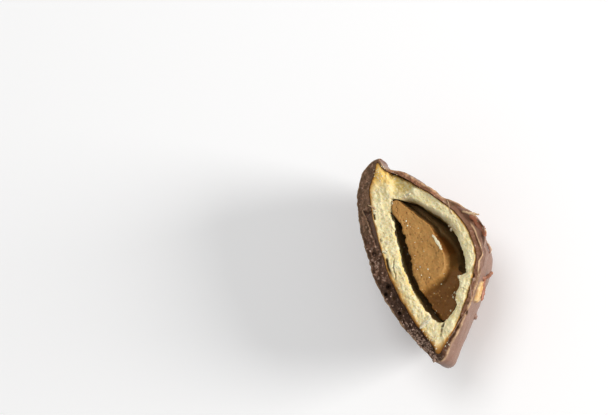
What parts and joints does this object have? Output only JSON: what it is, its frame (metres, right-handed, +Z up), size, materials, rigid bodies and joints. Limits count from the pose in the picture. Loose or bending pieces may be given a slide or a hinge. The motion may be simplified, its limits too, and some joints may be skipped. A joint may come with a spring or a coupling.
{
  "type": "chocolate covered pretzel",
  "caption": "Halved chocolate covered pretzel nugget lying with its cut face up, showing the coat, the pretzel crust and the loose peanut butter filling.",
  "frame": {"origin": "centre of the base of the bounding box, on the surface that the piece lies on", "axes": "+Z is up, out of the cut face; +Y runs along the cut from pinched end to pinched end; +X points to the domed crown and -X to the thick chocolate base"},
  "size_m": [0.0174, 0.0322, 0.0137],
  "materials": {
    "chocolate": "milk chocolate, smooth outside and granular where it is broken",
    "pretzel": "dry porous crumb",
    "peanut_butter": "dense and slightly grainy, with specks of salt"
  },
  "bodies": {
    "root": {"chocolate_coat": "chocolate", "pretzel_crust": "pretzel", "peanut_butter": "peanut_butter"}
  },
  "joints": []
}
